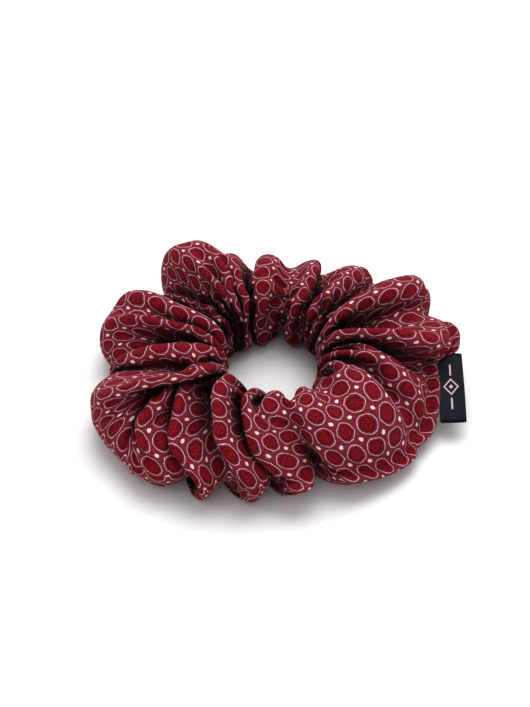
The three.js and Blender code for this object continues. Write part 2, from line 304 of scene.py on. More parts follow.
def guide_shape(deg, around):
    """The ring of puffs that the cloth is held to. around is 0 at the outer edge, and climbs from there."""
    reach, wall_height, edge_height, lean, _ = puff_field(deg)
    crease = crease_depth(deg, around)
    leaning = lean * np.maximum(np.sin(around), 0) * np.maximum(1 - crease, 0)
    angle = np.radians(deg + bent_by(deg, around) + leaning)
    lip = lip_share(deg)
    below = around > math.pi
    # The lip takes the rows nearest the outer edge, and the tube goes round with the others.
    from_edge = np.minimum(around, TURN - around) / TURN * ROWS
    on_lip = lip * np.maximum(1 - from_edge / LIP_ROWS, 0)
    past_lip = np.maximum(from_edge - LIP_ROWS, 0) / (ROWS / 2 - LIP_ROWS) * math.pi
    past_lip = np.where(below, TURN - past_lip, past_lip)
    around = around + (past_lip - around) * lip
    # The tube's section is a squarish oval between the hole's wall and the outer edge.
    inner = oval(angle, HOLE_A, HOLE_B, 2) * (1 - HOLE_NARROWING * np.maximum(-np.cos(angle), 0))
    outer = oval(angle, OUTER_A, OUTER_B, OUTER_SQUARENESS) * reach - LIP_SET_BACK * lip
    inside = 0.5 - 0.5 * np.cos(around)  # 0 at the outer edge, 1 at the hole
    top = TOP * (wall_height * inside + edge_height * (1 - inside))
    rho = (inner + outer) / 2 + (outer - inner) / 2 * squarish(np.cos(around))
    middle = seam_height(angle) * (1 - inside) + MIDDLE_HEIGHT * top * inside
    rise = np.where(np.sin(around) > 0, top - middle, BELOW_MIDDLE * middle)
    z = middle + rise * squarish(np.sin(around), LIP_WEDGE * lip * (np.cos(around) > 0))
    # Creases draw it in towards the core.
    pinch = crease * (PINCH_EDGE + PINCH_TOP * np.maximum(np.sin(around), 0) ** 2)
    pinch = np.minimum(pinch, PINCH_MOST)
    core = inner + CORE_OUT
    rho += (core - rho) * pinch
    z += (ELASTIC_Z - z) * pinch
    # The lip stands out flat from it, at the seam's height.
    rho += on_lip * LIP_ROWS * TUBE_AROUND / ROWS
    lip_side = np.interp(from_edge, range(LIP_ROWS + 1), LIP_HALF_THICK) * np.where(below, -1, 1)
    z += (seam_height(angle) + lip_side - z) * np.minimum(LIP_ROWS * on_lip, 1)
    z = np.maximum(z, FLOOR)
    return np.stack([RING_X + rho * np.cos(angle), rho * np.sin(angle), z], -1)


def column_angles():
    """The angle of each column of cloth, in degrees: a column goes where the puffs take up its length."""
    deg = np.linspace(0, 360, MEASURED_ANGLES) + START_DEG
    share = puff_field(deg)[4]
    lines = [guide_shape(deg, np.full_like(deg, around)) for around in MEASURED_AROUND]
    needed = np.mean([np.linalg.norm(np.diff(line, axis=0), axis=1) for line in lines], axis=0)
    along = np.concatenate([[0], np.cumsum(needed * share[1:])])
    return np.interp(np.arange(COLUMNS) / COLUMNS, along / along[-1], deg)


def start_waves(rng):
    """Small waves along the strip, strongest round the hole, for the gathers to grow from."""
    along = np.arange(COLUMNS)[:, None] / COLUMNS * TURN
    around = np.arange(ROWS)[None] / ROWS * TURN
    wave = np.zeros((COLUMNS, ROWS))
    for length, height in START_WAVES:
        for extra in range(3):
            cycles = round(STRIP_LENGTH / length) + extra
            turns = rng.integers(-1, 2)
            wave += height / 2 * np.cos(cycles * along + turns * around + rng.uniform(0, TURN))
    return wave * (0.5 - 0.45 * np.cos(around))


# ---- the solver ----
def near_pairs(x, reach):
    """Every two points within reach of each other that aren't neighbours in the cloth."""
    p = x.reshape(-1, 3)
    cell = np.floor((p - p.min(0)) / reach).astype(np.int64) + 1
    size = cell.max(0) + 2
    key = (cell[:, 0] * size[1] + cell[:, 1]) * size[2] + cell[:, 2]
    order = np.argsort(key, kind="stable")
    in_order = key[order]
    first, second = [], []
    for shift in [(i * size[1] + j) * size[2] for i in (-1, 0, 1) for j in (-1, 0, 1)]:
        low = np.searchsorted(in_order, key + shift - 1, "left")
        count = np.searchsorted(in_order, key + shift + 1, "right") - low
        a = np.repeat(np.arange(len(p)), count)
        b = order[np.arange(len(a)) + np.repeat(low - np.cumsum(count) + count, count)]
        keep = (a < b) & (((p[a] - p[b]) ** 2).sum(1) < reach * reach)
        first.append(a[keep])
        second.append(b[keep])
    a, b = np.concatenate(first), np.concatenate(second)
    columns = np.abs(a // ROWS - b // ROWS)
    rows = np.abs(a % ROWS - b % ROWS)
    apart = np.maximum(np.minimum(columns, COLUMNS - columns), np.minimum(rows, ROWS - rows))
    return a[apart > NEIGHBOURS], b[apart > NEIGHBOURS]


def keep_lengths(x, edges, bends):
    """One sweep that brings each edge towards its length, and opens folds that are too tight."""
    move = np.zeros_like(x)
    for a, b, rest, share in edges:
        d = rolled(x, a, b) - x
        strain = 1 - rest / length_of(d)
        c = 0.5 * share * np.where(strain < 0, SQUASH, 1) * strain * d
        move += c - rolled(c, -a, -b)
    for a, b, rest in bends:
        d = rolled(x, a, b) - x
        c = 0.5 * BEND * np.minimum(1 - rest / length_of(d), 0) * d
        c *= np.minimum(1, BEND_MOST / length_of(c))
        move += c - rolled(c, -a, -b)
    return x + move


def part_layers(x, a, b):
    """Pushes apart the points of the pairs that are nearer than two layers can be."""
    p = x.reshape(-1, 3)
    d = p[a] - p[b]
    apart = length_of(d)[:, 0]
    hit = apart < LAYER_GAP
    a, b = a[hit], b[hit]
    c = (0.5 * (LAYER_GAP / np.maximum(apart[hit], LEAST_APART) - 1))[:, None] * d[hit]
    times = np.maximum(np.bincount(a, minlength=len(p)) + np.bincount(b, minlength=len(p)), 1)
    for k in range(3):
        push = np.bincount(a, c[:, k], len(p)) - np.bincount(b, c[:, k], len(p))
        p[:, k] += push / np.sqrt(times)
    return p.reshape(x.shape)


def stitch_lip(x, columns):
    """Holds the two layers of the lip together, a lip's width in from the outer edge."""
    d = x[columns, LIP_ROWS] - x[columns, -LIP_ROWS]
    c = 0.5 * np.maximum(1 - LAYER_GAP / length_of(d), 0) * d
    x[columns, LIP_ROWS] -= c
    x[columns, -LIP_ROWS] += c


def press_lip(x, columns):
    """Draws the layers together under the topstitch, which leaves a groove along the lip."""
    middle = (x[columns, LIP_ROWS] + x[columns, -LIP_ROWS]) / 2
    for row in (LIP_ROWS, -LIP_ROWS):
        x[columns, row] += LIP_PRESS * (middle - x[columns, row])
    return x


def keep_off_elastic(x):
    """Moves points half of their way out of the space round the elastic."""
    angle = np.arctan2(x[..., 1], x[..., 0] - RING_X)
    rho = np.hypot(x[..., 0] - RING_X, x[..., 1])
    across = (rho - elastic_radius(angle)) / ELASTIC_ROOM
    up = (x[..., 2] - ELASTIC_Z) / (ELASTIC_WIDTH / 2 + ELASTIC_ROOM_UP)
    deep = np.maximum(np.hypot(across, up), 1e-3)
    out = np.where(deep < 1, 1 / deep - 1, 0) * 0.5
    x[..., 0] += out * across * ELASTIC_ROOM * np.cos(angle)
    x[..., 1] += out * across * ELASTIC_ROOM * np.sin(angle)
    x[..., 2] += out * (x[..., 2] - ELASTIC_Z)


def rest_lengths(guide):
    """The length of each cell's edges and diagonals, and of the spans that resist bending."""
    du, dv = STRIP_LENGTH / COLUMNS, TUBE_AROUND / ROWS
    least = np.interp(np.arange(ROWS) / ROWS * 360, GATHERED_AT, GATHERED)[None, :, None]
    along = np.clip(length_of(rolled(guide, 1, 0) - guide), least * du, GIVE * du)
    around = np.clip(length_of(rolled(guide, 0, 1) - guide), least * dv, GIVE * dv)
    slant = np.hypot(along, around)
    edges = (
        (1, 0, along, EDGE_STIFFNESS),
        (0, 1, around, EDGE_STIFFNESS),
        (1, 1, slant, SLANT_STIFFNESS),
        (1, -1, rolled(slant, 0, -1), SLANT_STIFFNESS),
    )
    along_two = along + rolled(along, 1, 0)
    around_two = around + rolled(around, 0, 1)
    bends = (
        (2, 0, along_two),
        (0, 2, around_two),
        (4, 0, along_two + rolled(along_two, 2, 0)),
        (0, 4, around_two + rolled(around_two, 0, 2)),
    )
    return edges, bends


def settle(x, guide, pull, lip):
    """Runs the solver. pull is how strongly each point is held to the guide."""
    edges, bends = rest_lengths(guide)
    speed = np.zeros_like(x)
    for step in range(STEPS):
        before = x.copy()
        speed = speed * DRAG + PRESSURE * normals(x)
        speed[..., 2] -= GRAVITY
        speed *= np.minimum(1, TOP_SPEED / length_of(speed))
        x = x + speed
        for _ in range(SWEEPS):
            x = keep_lengths(x, edges, bends)
        x += np.minimum(pull * (1 + PULL_AT_FIRST * math.exp(-step / PULL_FADES)), PULL_MOST) * (guide - x)
        stitch_lip(x, lip)
        keep_off_elastic(x)
        if step % PAIRS_STEPS == 0:
            pairs = near_pairs(x, LAYER_GAP * PAIRS_REACH)
        x = part_layers(x, *pairs)
        low = x[..., 2] < FLOOR
        x[..., 2] = np.maximum(x[..., 2], FLOOR)
        speed = x - before
        speed[low, :2] *= FLOOR_SLIDE
    return x


def solve_cloth():
    """The settled cloth, as (column, row, 3), and the columns of the lip."""
    deg = column_angles()
    across, around = np.meshgrid(deg, np.arange(ROWS) / ROWS * TURN, indexing="ij")
    guide = guide_shape(across, around)
    x = guide + normals(guide) * start_waves(np.random.default_rng(SEED))[..., None]
    lip = np.flatnonzero(lip_share(deg) > 0.5)
    rows = np.arange(ROWS)
    pull = PULL + CREASE_PULL * crease_depth(across, around)[..., None]
    pull[:, np.abs(rows - ROWS // 2) <= 1] = HOLE_PULL
    edge_rows = np.minimum(rows, ROWS - rows) <= LIP_ROWS
    pull[np.ix_(lip, np.flatnonzero(edge_rows))] = LIP_PULL
    return press_lip(settle(x, guide, pull, lip), lip), lip


# ---- how deep in the folds, for the painted shade ----
FOLD_RAYS = 40  # over a whole sphere
FOLD_REACH = 14.0  # millimetres
FOLD_START = 0.4  # how far off the cloth a ray starts
FOLD_FACING = 0.1  # rays nearer the cloth's own plane than this aren't cast
FOLD_STEP = 2  # every second column and row is measured


def ray_directions():
    """Directions spread evenly over a sphere."""
    k = np.arange(FOLD_RAYS) + 0.5
    high = 1 - 2 * k / FOLD_RAYS
    turn = k * math.pi * (1 + math.sqrt(5))
    flat = np.sqrt(1 - high**2)
    return np.stack([flat * np.cos(turn), flat * np.sin(turn), high], -1)


def painted_shade_openness(x, mesh):
    """How open each point of the cloth lies, from 0 deep in a fold to 1 out on a puff. It masks the painted
    shade in the cloth's colour.
    """
    tree = BVHTree.FromPolygons([v.co for v in mesh.vertices], [p.vertices for p in mesh.polygons])
    points = (x * MM)[::FOLD_STEP, ::FOLD_STEP]
    out = normals(x)[::FOLD_STEP, ::FOLD_STEP]
    directions = ray_directions()
    rays = [Vector(d) for d in directions]
    free = np.empty(points.shape[:2])
    for i, j in np.ndindex(*free.shape):
        facing = directions @ out[i, j]
        start = Vector(points[i, j] + out[i, j] * FOLD_START * MM)
        ahead = np.flatnonzero(facing > FOLD_FACING)
        clear = [facing[k] for k in ahead if tree.ray_cast(start, rays[k], FOLD_REACH * MM)[0] is None]
        free[i, j] = sum(clear) / facing[ahead].sum()
    free = free.repeat(FOLD_STEP, 0).repeat(FOLD_STEP, 1)
    for axis in (0, 1):
        free = (np.roll(free, -1, axis) + free + np.roll(free, 1, axis)) / 3
    return free


# ---- materials ----
class Nodes:
    """A short way to write a material's nodes. Sockets are passed as sockets or as plain numbers."""

    def __init__(self, name):
        self.material = bpy.data.materials.new(name)
        self.material.use_nodes = True
        self.tree = self.material.node_tree
        self.shader = self.tree.nodes["Principled BSDF"]

    def put(self, socket, value):
        """Links a socket to another, or gives it a value."""
        if isinstance(value, bpy.types.NodeSocket):
            self.tree.links.new(value, socket)
        else:
            socket.default_value = value

    def math(self, operation, a, b=0.0):
        node = self.tree.nodes.new("ShaderNodeMath")
        node.operation = operation
        for socket, value in zip(node.inputs, (a, b)):
            self.put(socket, value)
        return node.outputs[0]

    def vector(self, operation, a, b=(0, 0, 0)):
        node = self.tree.nodes.new("ShaderNodeVectorMath")
        node.operation = operation
        self.put(node.inputs[0], a)
        self.put(node.inputs[3 if operation == "SCALE" else 1], b)
        return node.outputs["Value" if operation == "LENGTH" else "Vector"]

    def split(self, vector):
        """The first two of a vector's three numbers."""
        node = self.tree.nodes.new("ShaderNodeSeparateXYZ")
        self.put(node.inputs[0], vector)
        return node.outputs[0], node.outputs[1]

    def noise(self, vector, scale, detail=2.0, output="Fac"):
        node = self.tree.nodes.new("ShaderNodeTexNoise")
        self.put(node.inputs["Vector"], vector)
        node.inputs["Scale"].default_value = scale
        node.inputs["Detail"].default_value = detail
        return node.outputs[output]

    def ramp(self, value, low, high, to_low=0.0, to_high=1.0):
        """value mapped smoothly from low..high to to_low..to_high."""
        node = self.tree.nodes.new("ShaderNodeMapRange")
        node.interpolation_type = "SMOOTHSTEP"
        for socket, v in zip(node.inputs, (value, low, high, to_low, to_high)):
            self.put(socket, v)
        return node.outputs[0]

    def mix(self, share, a, b):
        node = self.tree.nodes.new("ShaderNodeMix")
        node.data_type = "RGBA"
        self.put(node.inputs[0], share)
        self.put(node.inputs[6], a if isinstance(a, bpy.types.NodeSocket) else (*a, 1))
        self.put(node.inputs[7], b if isinstance(b, bpy.types.NodeSocket) else (*b, 1))
        return node.outputs[2]

    def bump(self, height, distance, strength=1.0):
        """Adds relief on top of what the shader already has."""
        node = self.tree.nodes.new("ShaderNodeBump")
        node.inputs["Distance"].default_value = distance
        node.inputs["Strength"].default_value = strength
        self.put(node.inputs["Height"], height)
        previous = self.shader.inputs["Normal"]
        if previous.is_linked:
            self.put(node.inputs["Normal"], previous.links[0].from_socket)
        self.put(previous, node.outputs[0])

    def attribute(self, name):
        node = self.tree.nodes.new("ShaderNodeAttribute")
        node.attribute_name = name
        return node.outputs["Fac"]

    def cloth_mm(self):
        """Where the point is on the flat cloth, in millimetres."""
        node = self.tree.nodes.new("ShaderNodeUVMap")
        node.uv_map = "cloth"
        return self.vector("SCALE", node.outputs[0], UV_MM)


def srgb(red, green, blue):
    """A linear colour from the usual numbers of 0 to 255."""
    shares = [c / 255 for c in (red, green, blue)]
    return tuple(c / 12.92 if c < 0.0405 else ((c + 0.055) / 1.055) ** 2.4 for c in shares)


PRINT_PITCH = 6.6  # millimetres
# These are shares of the pitch. The soft ones say over how much one colour turns into the next.
RING_RADIUS = 0.415
RING_LINE = 0.022
DISC_RADIUS = 0.32
DISC_SOFT = 0.012
DISC_RIM = 0.10
DOT_RADIUS = 0.1
DOT_SOFT = 0.025
HAND_DRAWN = 1.1  # the print strays from its lattice by up to half of this, in millimetres
WEAVE_MM = 0.42  # between two threads
# Painted shade: the cloth's colour is scaled by the first of these deep in the folds, up to the third
# openness, and by the second, a slight painted light, from the fourth openness on.
PAINTED_SHADE_IN_FOLDS = 0.08
PAINTED_LIGHT_ON_PUFFS = 1.05
PAINTED_SHADE_UP_TO = 0.1
PAINTED_LIGHT_FROM = 0.8

GROUND = srgb(146, 58, 72)
GROUND_DARK = srgb(122, 42, 59)
RING_LINE_COLOUR = srgb(222, 196, 206)
DISC = srgb(152, 32, 48)
DISC_DARK = srgb(86, 12, 27)
DOT_COLOUR = srgb(236, 218, 206)
BETWEEN_THREADS = srgb(50, 6, 18)
SHEEN = (1, 0.75, 0.78, 1)


def waves(n, value, pitch):
    """0 to 1 and back, once in each pitch."""
    return n.math("ABSOLUTE", n.math("SINE", n.math("MULTIPLY", value, math.pi / pitch)))


def weave(n, place, warp_pitch, weft_pitch):
    """Plain weave: 1 on top of a thread, 0 between threads."""
    x, y = n.split(place)
    return n.math("MULTIPLY", waves(n, x, warp_pitch), waves(n, y, weft_pitch))


def from_lattice(n, cell, shift):
    """How far a point is from the nearest middle of the print's lattice, in pitches."""
    moved = n.vector("ADD", cell, (shift, shift, 0))
    away = n.vector("SUBTRACT", n.vector("FRACTION", moved), (0.5, 0.5, 0))
    return n.vector("LENGTH", n.vector("MULTIPLY", away, (1, 1, 0)))


def print_colour(n, place):
    """A square lattice of outlined discs, with a cream dot in the middle of each four."""
    wobble = n.vector("SUBTRACT", n.noise(place, 0.45, 2, "Color"), (0.5, 0.5, 0.5))
    drawn = n.vector("ADD", place, n.vector("SCALE", wobble, HAND_DRAWN))
    cell = n.vector("SCALE", drawn, 1 / PRINT_PITCH)
    radius = from_lattice(n, cell, 0)
    dot_radius = from_lattice(n, cell, 0.5)
    fine = n.noise(place, 2.6, 3)
    mottle = n.noise(place, 1.3, 4)
    scribble = n.ramp(n.noise(place, 1.9, 5), 0.42, 0.60)
    disc = n.ramp(radius, DISC_RADIUS + DISC_SOFT, DISC_RADIUS - DISC_SOFT)
    rim = n.ramp(radius, DISC_RADIUS - DISC_RIM, DISC_RADIUS - 0.01)
    off_line = n.math("ABSOLUTE", n.math("SUBTRACT", radius, RING_RADIUS))
    worn = n.ramp(fine, 0.30, 0.5, 0.45, 1.0)
    line = n.math("MULTIPLY", n.ramp(off_line, RING_LINE, RING_LINE * 0.45), worn)
    ragged = n.math("ADD", dot_radius, n.math("MULTIPLY", fine, 0.05))
    dot = n.ramp(ragged, DOT_RADIUS + DOT_SOFT, DOT_RADIUS)
    ground = n.mix(n.ramp(mottle, 0.35, 0.65), GROUND_DARK, GROUND)
    disc_colour = n.mix(n.math("MULTIPLY", scribble, 0.75), DISC, DISC_DARK)
    disc_colour = n.mix(n.math("MULTIPLY", rim, 0.85), disc_colour, DISC_DARK)
    colour = n.mix(disc, ground, disc_colour)
    colour = n.mix(line, colour, RING_LINE_COLOUR)
    return n.mix(dot, colour, DOT_COLOUR)


def cotton_print():
    """Burgundy printed cotton in plain weave, its colour darkened deep in its folds as painted shade."""
    n = Nodes("cotton_print")
    place = n.cloth_mm()
    threads = weave(n, place, WEAVE_MM, WEAVE_MM)
    colour = n.mix(n.ramp(threads, 0.45, 0.0, 0, 0.35), print_colour(n, place), BETWEEN_THREADS)
    # painted shade: the colour is darkened where the cloth lies deep in a fold, and lightened a little out
    # on the puffs
    painted_shade_scale = n.ramp(n.attribute("open"), PAINTED_SHADE_UP_TO, PAINTED_LIGHT_FROM, PAINTED_SHADE_IN_FOLDS, PAINTED_LIGHT_ON_PUFFS)
    n.put(n.shader.inputs["Base Color"], n.vector("SCALE", colour, painted_shade_scale))
    n.shader.inputs["Roughness"].default_value = 0.78
    n.shader.inputs["Specular IOR Level"].default_value = 0.1
    n.shader.inputs["Sheen Weight"].default_value = 0.06
    n.shader.inputs["Sheen Roughness"].default_value = 0.45
    n.shader.inputs["Sheen Tint"].default_value = SHEEN
    n.bump(n.noise(place, 0.22, 3), 1.6 * MM, 0.5)
    n.bump(threads, 0.12 * MM, 0.6)
    return n.material


def plain_thread(name, colour, dark):
    """Twisted polyester thread: fine slanting plies."""
    n = Nodes(name)
    x, y = n.split(n.cloth_mm())
    slanting = n.math("ADD", n.math("MULTIPLY", x, 7.0), n.math("MULTIPLY", y, 9.0))
    plies = n.math("ABSOLUTE", n.math("SINE", slanting))
    n.put(n.shader.inputs["Base Color"], n.mix(plies, dark, colour))
    n.shader.inputs["Roughness"].default_value = 0.5
    n.shader.inputs["Sheen Weight"].default_value = 0.2
    n.bump(plies, 0.05 * MM)
    return n.material


def woven_elastic():
    """Off-white braid with ribs along it."""
    n = Nodes("woven_elastic")
    height = weave(n, n.cloth_mm(), 0.5, 0.8)
    n.put(n.shader.inputs["Base Color"], n.mix(height, srgb(196, 190, 180), srgb(236, 232, 224)))
    n.shader.inputs["Roughness"].default_value = 0.8
    n.bump(height, 0.15 * MM)
    return n.material


# The label's woven motif, in millimetres: a diamond with a small one in it, between two bars.
MOTIF_MIDDLE = LABEL_OUT / 2 + 0.3  # from the fold
DIAMOND_SIZE = 2.0
DIAMOND_LINE = 0.36
HEART_SIZE = 0.75
BAR_MIDDLE = 6.0
BAR_HALF_LONG = 2.1
BAR_HALF_WIDE = 0.34
SELVAGE = 1.0


def label_motif(n, x, y):
    """1 on the motif's threads, 0 on the ground. y is 0 on the label's fold."""
    along = n.math("ABSOLUTE", x)
    across = n.math("ABSOLUTE", n.math("SUBTRACT", n.math("ABSOLUTE", y), MOTIF_MIDDLE))
    diamond = n.math("ADD", n.math("MULTIPLY", along, 0.75), across)
    off_diamond = n.math("ABSOLUTE", n.math("SUBTRACT", diamond, DIAMOND_SIZE))
    outline = n.ramp(off_diamond, DIAMOND_LINE, DIAMOND_LINE - 0.14)
    heart = n.ramp(diamond, HEART_SIZE, HEART_SIZE - 0.2)
    off_bar = n.math("ABSOLUTE", n.math("SUBTRACT", along, BAR_MIDDLE))
    bar_long = n.ramp(off_bar, BAR_HALF_LONG, BAR_HALF_LONG - 0.15)
    bar_wide = n.ramp(across, BAR_HALF_WIDE, BAR_HALF_WIDE - 0.12)
    bar = n.math("MULTIPLY", bar_long, bar_wide)
    return n.math("MAXIMUM", n.math("MAXIMUM", outline, heart), bar)


def label_satin(width):
    """Near-black navy satin ribbon with a pale woven motif and plain selvages."""
    n = Nodes("label_ribbon")
    place = n.cloth_mm()
    x, y = n.split(place)
    weft = waves(n, x, 0.22)
    warp = n.noise(n.vector("MULTIPLY", place, (6.0, 0.4, 1)), 1.0, 2)
    ground = n.mix(n.ramp(warp, 0.3, 0.7), srgb(20, 22, 34), srgb(40, 42, 56))
    edge = n.ramp(n.math("ABSOLUTE", x), width / 2 - SELVAGE, width / 2 - SELVAGE + 0.6)
    ground = n.mix(edge, ground, srgb(14, 15, 24))
    motif = label_motif(n, x, y)
    threads = n.math("MULTIPLY", motif, n.ramp(weft, 0.0, 0.5, 0.7, 1.0))
    n.put(n.shader.inputs["Base Color"], n.mix(threads, ground, srgb(206, 186, 192)))
    n.shader.inputs["Roughness"].default_value = 0.5
    n.shader.inputs["Specular IOR Level"].default_value = 0.15
    n.bump(weft, 0.03 * MM, 0.7)
    n.bump(motif, 0.08 * MM)
    return n.material


# ---- meshes ----
def new_object(name, vertices_mm, faces, uvs_mm, material):
    """A smooth mesh. uvs_mm has one pair for each face corner."""
    mesh = bpy.data.meshes.new(name)
    mesh.from_pydata((np.asarray(vertices_mm) * MM).tolist(), [], faces)
    mesh.polygons.foreach_set("use_smooth", [True] * len(mesh.polygons))
    layer = mesh.uv_layers.new(name="cloth")
    layer.data.foreach_set("uv", (np.asarray(uvs_mm, float) / UV_MM).ravel())
    mesh.materials.append(material)
    mesh.update()
    piece = bpy.data.objects.new(name, mesh)
    bpy.context.scene.collection.objects.link(piece)
    return piece


def grid_mesh(name, points, closed, sizes_mm, material):
    """A mesh from a (columns, rows, 3) grid. closed says whether each way round closes on itself."""
    columns, rows = points.shape[:2]
    spans = (columns if closed[0] else columns - 1, rows if closed[1] else rows - 1)
    a, b = np.meshgrid(np.arange(spans[0]), np.arange(spans[1]), indexing="ij")
    a, b = a.ravel(), b.ravel()
    corners = ((a, b), (a + 1, b), (a + 1, b + 1), (a, b + 1))
    faces = np.stack([(i % columns) * rows + j % rows for i, j in corners], -1)
    uvs = np.stack([np.stack([i / spans[0], j / spans[1]], -1) for i, j in corners], 1) * sizes_mm
    return new_object(name, points.reshape(-1, 3), faces.tolist(), uvs, material)


def solid(piece, thick_mm):
    """Smooths a sheet and gives it its thickness."""
    smooth = piece.modifiers.new("smooth", "SUBSURF")
    smooth.levels = smooth.render_levels = 1
    shell = piece.modifiers.new("thick", "SOLIDIFY")
    shell.thickness = thick_mm * MM
    shell.offset = -1


def frames_along(line, closed):
    """Two directions across a line at each of its points."""
    if closed:
        ahead = np.roll(line, -1, 0) - np.roll(line, 1, 0)
    else:
        ahead = np.gradient(line, axis=0)
    ahead /= length_of(ahead)
    side = np.cross(ahead, (0, 0, 1.0))
    side /= length_of(side)
    return side, np.cross(side, ahead)


def distance_along(line):
    """How far along a line each of its points is."""
    return np.concatenate([[0], np.cumsum(np.linalg.norm(np.diff(line, axis=0), axis=1))])


THREAD_RADIUS = 0.17
THREAD_SIDES = 6
THREAD_END = 0.35  # of the radius, at a thread's two ends


def thread_mesh(name, lines, material):
    """One mesh of round threads, one along each line."""
    vertices, faces, uvs = [], [], []
    sides = THREAD_SIDES
    turn = np.arange(sides) / sides * TURN
    for line in lines:
        side, up = frames_along(line, False)
        swell = np.ones(len(line))
        swell[[0, -1]] = THREAD_END
        ring = side[:, None] * np.cos(turn)[None, :, None] + up[:, None] * np.sin(turn)[None, :, None]
        start = len(vertices)
        vertices.extend((line[:, None] + ring * (THREAD_RADIUS * swell)[:, None, None]).reshape(-1, 3))
        along = distance_along(line)
        for i in range(len(line) - 1):
            here = start + i * sides
            ahead = here + sides
            for j in range(sides):
                k = (j + 1) % sides
                faces.append([here + j, here + k, ahead + k, ahead + j])
                v = np.array([j, j + 1]) / sides * TURN * THREAD_RADIUS
                uvs += [(along[i], v[0]), (along[i], v[1]), (along[i + 1], v[1]), (along[i + 1], v[0])]
        for end, order in ((0, range(sides - 1, -1, -1)), (len(line) - 1, range(sides))):
            faces.append([start + end * sides + j for j in order])
            uvs += [(along[end], 0)] * sides
    return new_object(name, vertices, faces, uvs, material)


STITCH = 2.6  # from one stitch to the next
STITCH_GAP = 0.5
STITCH_POINTS = 6
STITCH_TOP = 0.7  # of its lift, over the cloth at the middle of a stitch
STITCH_DIP = 0.6  # of its lift, into the cloth at its ends


def stitches(line, out, lift):
    """Short arched lines along a line: each is one stitch lying on cloth whose outward direction is out."""
    along = distance_along(line)
    arch = np.sin(np.linspace(0, math.pi, STITCH_POINTS)) ** 0.5
    height = lift * (arch * (STITCH_TOP + STITCH_DIP) - STITCH_DIP)
    made = []
    for k in range(int(along[-1] / STITCH)):
        at = np.linspace(k * STITCH + STITCH_GAP / 2, (k + 1) * STITCH - STITCH_GAP / 2, STITCH_POINTS)
        base = np.stack([np.interp(at, along, line[:, i]) for i in range(3)], -1)
        up = np.stack([np.interp(at, along, out[:, i]) for i in range(3)], -1)
        made.append(base + up * height[:, None])
    return made


def attach(piece, slot, *replaced):
    """Bakes a piece's place into its mesh, and hides the nodes it stands for."""
    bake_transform(piece)
    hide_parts(*replaced)


# ---- the pieces ----
def make_cover(x):
    """The cloth itself, with its openness for the painted shade in its material."""
    cover = grid_mesh("cotton_cover", x, (True, True), (STRIP_LENGTH, TUBE_AROUND), cotton_print())
    # the openness that darkens the cloth's colour as painted shade in its folds
    attribute = cover.data.attributes.new("open", "FLOAT", "POINT")
    attribute.data.foreach_set("value", painted_shade_openness(x, cover.data).ravel())
    solid(cover, COTTON_THICK)
    attach(cover, "cotton_print", "fabric_tube_left", "fabric_tube_right")


TOPSTITCH_LIFT = 0.22
SEAM_LIFT = 0.2
SEAM_INSIDE = 1.0  # how far inside the cloth's middle the hidden seams run


def make_topstitch(x, lip, out, material):
    """The stitches that close the lip, on its top and on its underside."""
    for name, row in (("closing_topstitch_needle", LIP_ROWS), ("closing_topstitch_bobbin", -LIP_ROWS)):
        made = stitches(x[lip, row], out[lip, row], TOPSTITCH_LIFT)
        attach(thread_mesh(name, made, material), "sewing_thread", name + "_thread")


def make_hidden_seam(name, middle, out, material, *replaced):
    """One thread of a seam inside the tube, from the places on the cloth's middle that it follows."""
    made = stitches(middle - SEAM_INSIDE * out, -out, SEAM_LIFT)
    attach(thread_mesh(name, made, material), "sewing_thread", *replaced)


def make_seams(x, lip):
    """The closing topstitch on the lip, and the long seam and the end seam inside the tube."""
    out = normals(x)
    material = plain_thread("sewing_thread", srgb(120, 30, 46), srgb(60, 10, 22))
    make_topstitch(x, lip, out, material)
    columns = (lip[-1] + 1 + np.arange(COLUMNS - len(lip))) % COLUMNS
    for name, row in (("long_seam_needle", 1), ("long_seam_bobbin", -1)):
        nodes = (name + "_thread_left", name + "_thread_right")
        make_hidden_seam(name, x[columns, row], out[columns, row], material, *nodes)
    rows = np.arange(LIP_ROWS + 2, ROWS - LIP_ROWS - 1)
    for name, column in (("end_seam_needle", 1), ("end_seam_bobbin", -1)):
        make_hidden_seam(name, x[column, rows], out[column, rows], material, name + "_thread")


ELASTIC_POINTS = 180
ELASTIC_FACE_POINTS = 7  # up each face
LAP_POINTS = 14  # to each side of the lap's middle
ZIGZAG_SWING = 0.66  # of half the elastic's width


def elastic_line():
    """The middle of the elastic, from the right round to the right again."""
    angle = np.arange(ELASTIC_POINTS) / ELASTIC_POINTS * TURN
    ring = elastic_radius(angle)
    height = np.full(ELASTIC_POINTS, ELASTIC_Z)
    return np.stack([RING_X + ring * np.cos(angle), ring * np.sin(angle), height], -1)


def make_elastic():
    """The hidden loop, with the zigzag over its lap on the left."""
    line = elastic_line()
    side, up = frames_along(line, True)
    half_high = ELASTIC_WIDTH / 2
    rise = np.linspace(-half_high, half_high, ELASTIC_FACE_POINTS)
    section = [(ELASTIC_HALF_THICK, s) for s in rise] + [(-ELASTIC_HALF_THICK, s) for s in -rise]
    points = np.stack([line + side * a + up * b for a, b in section], 1)
    around = 2 * ELASTIC_WIDTH + 4 * ELASTIC_HALF_THICK
    long = np.linalg.norm(np.diff(line, axis=0, append=line[:1]), axis=1).sum()
    loop = grid_mesh("elastic_loop", points, (True, True), (long, around), woven_elastic())
    attach(loop, "woven_elastic", "elastic_band_right", "elastic_band_back_end", "elastic_band_front_end")
    material = plain_thread("elastic_thread", srgb(226, 220, 210), srgb(150, 144, 136))
    lap = ELASTIC_POINTS // 2 + np.arange(-LAP_POINTS, LAP_POINTS + 1)
    swing = np.where(np.arange(len(lap)) % 2, 1, -1) * half_high * ZIGZAG_SWING
    off_middle = ELASTIC_HALF_THICK + THREAD_RADIUS
    for name, sign in (("elastic_zigzag_needle", 1), ("elastic_zigzag_bobbin", -1)):
        zigzag = line[lap] + side[lap] * (sign * off_middle) + up[lap] * swing[:, None]
        attach(thread_mesh(name, [zigzag], material), "elastic_thread", name + "_thread")


